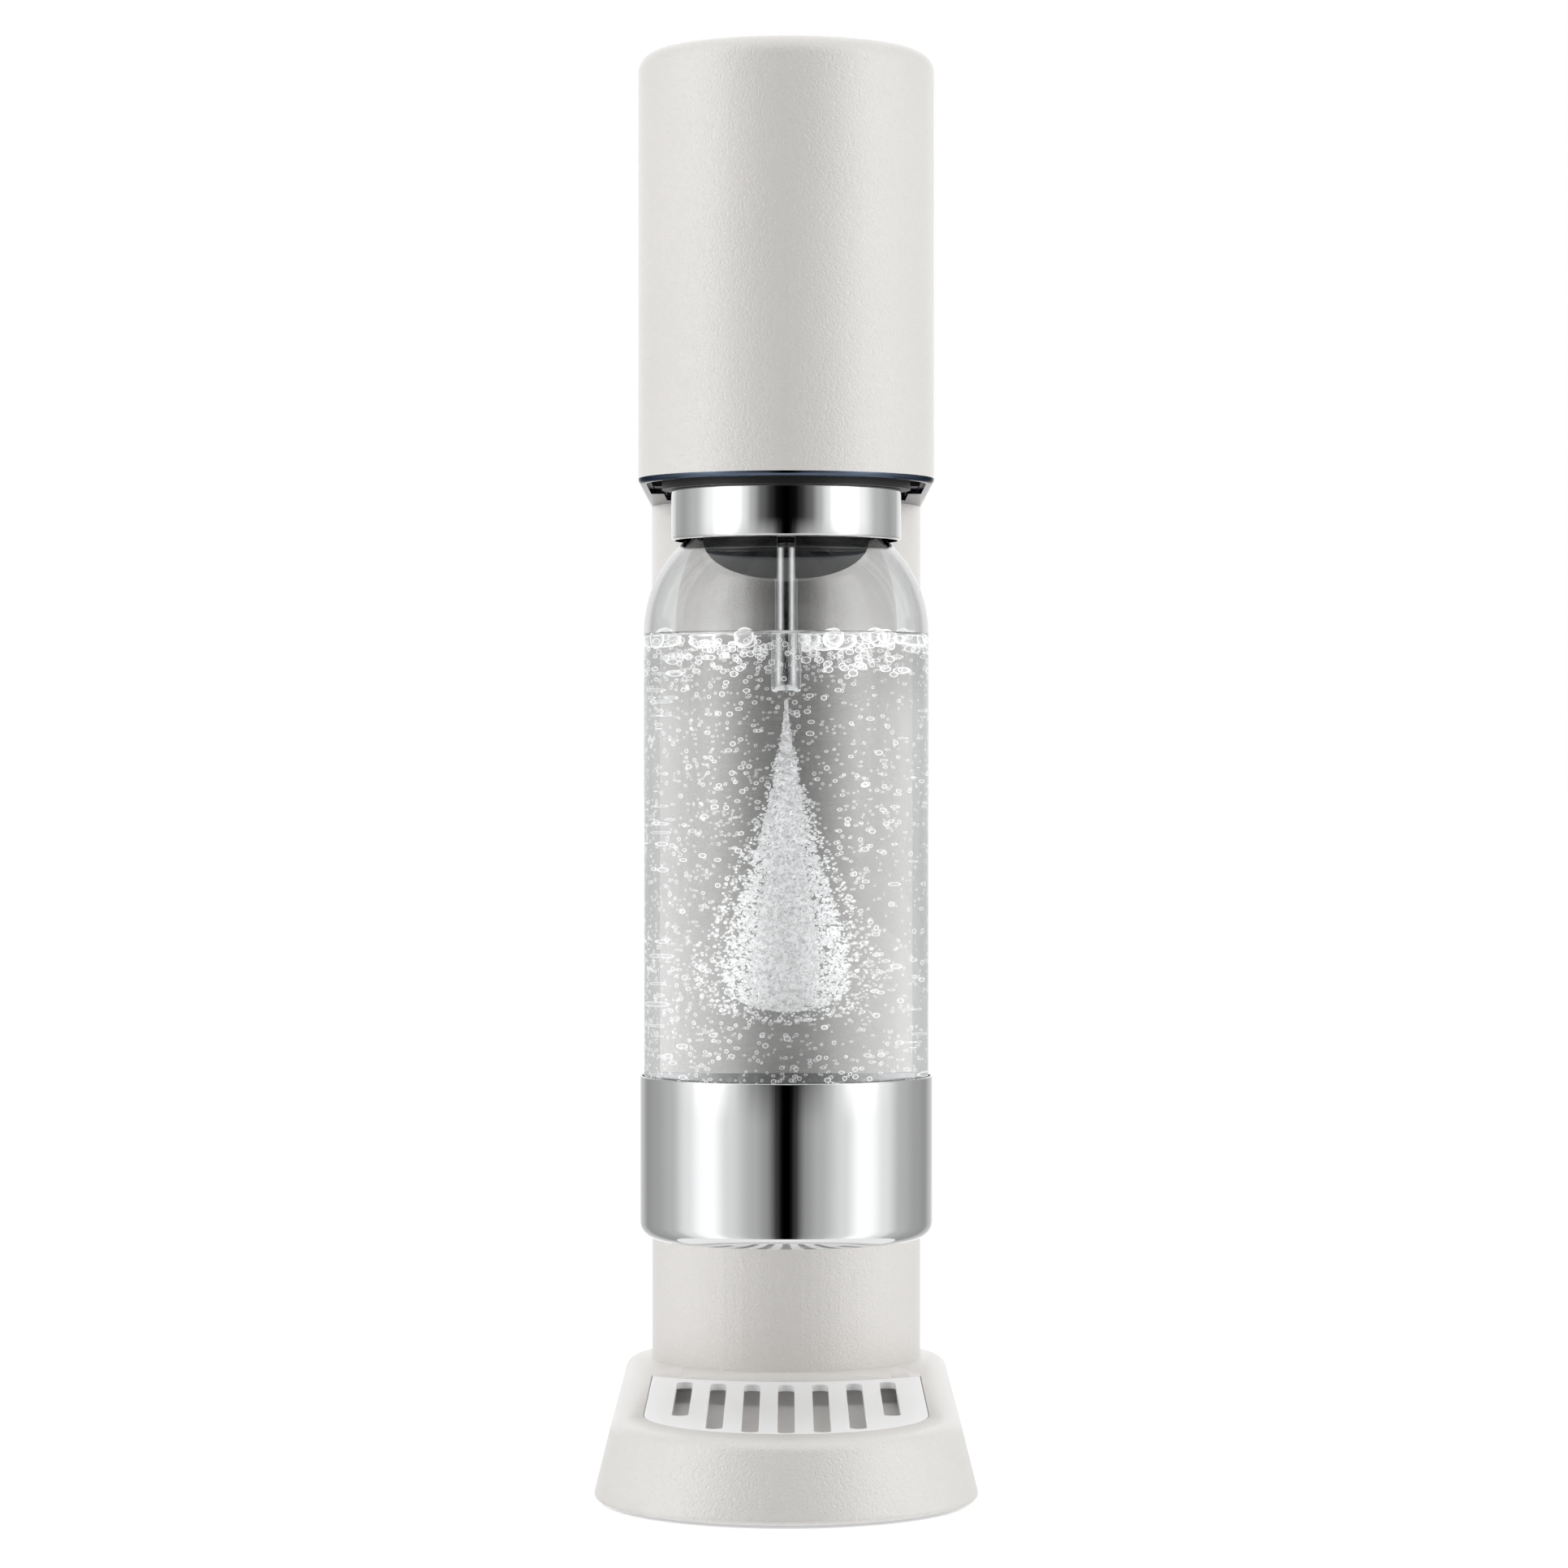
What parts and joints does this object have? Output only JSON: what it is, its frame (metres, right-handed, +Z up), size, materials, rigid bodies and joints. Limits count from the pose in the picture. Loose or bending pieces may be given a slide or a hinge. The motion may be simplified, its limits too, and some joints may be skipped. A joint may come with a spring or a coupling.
{
  "type": "soda carbonator",
  "caption": "Upright soda carbonator: round-ended head and column on a flared base, clear bottle with steel cup hanging over a slotted drip grille.",
  "frame": {"origin": "on the floor under the middle of the base's footprint", "axes": "+Z up, the bottle stands at the front towards -Y, +X to the right seen from the front"},
  "size_m": [0.1126, 0.2636, 0.427],
  "materials": {
    "shell_white": "fine-grained powder coat",
    "polished_steel": "mirror polish",
    "trim_mirror": "mirror polish",
    "grille_steel": "satin polish",
    "tray_grey": "matt",
    "clear_bottle": "clear",
    "dark_plastic": "matt",
    "grey_plastic": "satin",
    "black_rubber": "matt",
    "zinc_steel": "zinc plated",
    "brass": "machined",
    "gas_paint": "satin anodised",
    "release_blue": "gloss",
    "cast_weight": "raw"
  },
  "bodies": {
    "machine": {"base_shell": "shell_white", "column_shell": "shell_white", "head_shell": "shell_white", "rubber_feet": "black_rubber", "base_plate": "dark_plastic", "base_screws": "zinc_steel", "spine_screws": "zinc_steel", "ballast_plate": "cast_weight", "spine_frame": "grey_plastic", "door_magnets": "zinc_steel", "cylinder_rest": "black_rubber", "head_trim": "trim_mirror", "head_frame": "dark_plastic", "head_liner": "dark_plastic", "tilt_pins": "zinc_steel", "hose_elbow": "brass", "hose_fitting": "brass", "gas_hose": "black_rubber", "valve_block": "brass", "valve_seal": "black_rubber", "relief_body": "brass", "relief_spring": "zinc_steel", "valve_bridge": "zinc_steel", "lever_bracket": "zinc_steel", "lever_pins": "zinc_steel", "button_housing": "grey_plastic", "button_spring": "zinc_steel", "rocker_pin": "zinc_steel", "rocker_hangers": "grey_plastic"},
    "button": {"button": "shell_white"},
    "rocker": {"rocker": "grey_plastic"},
    "valve_pin": {"valve_pin": "zinc_steel"},
    "holder": {"holder_ring": "dark_plastic", "collar": "polished_steel", "stopper": "dark_plastic", "bottle_seal": "black_rubber", "nozzle_tube": "polished_steel", "nozzle_tip": "polished_steel", "holder_pipe": "zinc_steel"},
    "bottle": {"bottle": "clear_bottle", "bottle_cup": "polished_steel", "cup_pad": "black_rubber"},
    "door": {"rear_door": "shell_white"},
    "gas": {"gas_cylinder": "gas_paint", "cylinder_valve": "brass", "cylinder_collar": "release_blue"},
    "lever": {"release_lever": "release_blue"},
    "poppet": {"relief_poppet": "brass"},
    "tray": {"drip_tray": "tray_grey"},
    "grille": {"drip_grille": "grille_steel"}
  },
  "joints": [
    {"name": "button_press", "type": "slide", "parent": "machine", "child": "button", "axis": [0, 0, -1], "range_m": [0, 0.008], "stiffness_N_per_m": 500, "springref_m": -0.004, "deforming": ["button_spring"]},
    {"name": "rocker_turn", "type": "hinge", "parent": "machine", "child": "rocker", "pos_m": [0, 0.098, 0.4041], "axis": [1, 0, 0], "range_deg": [0, 3.1]},
    {"name": "valve_pin_push", "type": "slide", "parent": "machine", "child": "valve_pin", "axis": [0, 0, -1], "range_m": [0, 0.00125]},
    {"name": "holder_tilt", "type": "hinge", "parent": "machine", "child": "holder", "pos_m": [0, -0.0075, 0.319], "axis": [-1, 0, 0], "range_deg": [0, 10]},
    {"name": "bottle_release", "type": "slide", "parent": "holder", "child": "bottle", "axis": [0, 0, -1], "range_m": [0, 0.024]},
    {"name": "door_lift_off", "type": "slide", "parent": "machine", "child": "door", "axis": [0, 1, 0], "range_m": [0, 0.06]},
    {"name": "cylinder_drop", "type": "slide", "parent": "machine", "child": "gas", "axis": [0, 0, -1], "range_m": [0, 0.005]},
    {"name": "lever_turn", "type": "hinge", "parent": "machine", "child": "lever", "pos_m": [0, 0.0755, 0.36967], "axis": [1, 0, 0], "range_deg": [0, 50.1]},
    {"name": "relief_lift", "type": "slide", "parent": "machine", "child": "poppet", "axis": [0, -1, 0], "range_m": [0, 0.0015], "stiffness_N_per_m": 800, "springref_m": -0.002, "deforming": ["relief_spring"]},
    {"name": "tray_lift", "type": "slide", "parent": "machine", "child": "tray", "axis": [0, 0, 1], "range_m": [0, 0.008]},
    {"name": "grille_lift", "type": "slide", "parent": "tray", "child": "grille", "axis": [0, 0, 1], "range_m": [0, 0.008]}
  ],
  "couplings": [
    {"joint": "rocker_turn", "follows": "button_press", "rad_per_m": 6.6007},
    {"joint": "valve_pin_push", "follows": "button_press", "ratio": 0.14851},
    {"joint": "lever_turn", "follows": "cylinder_drop", "rad_per_m": 174.53}
  ]
}
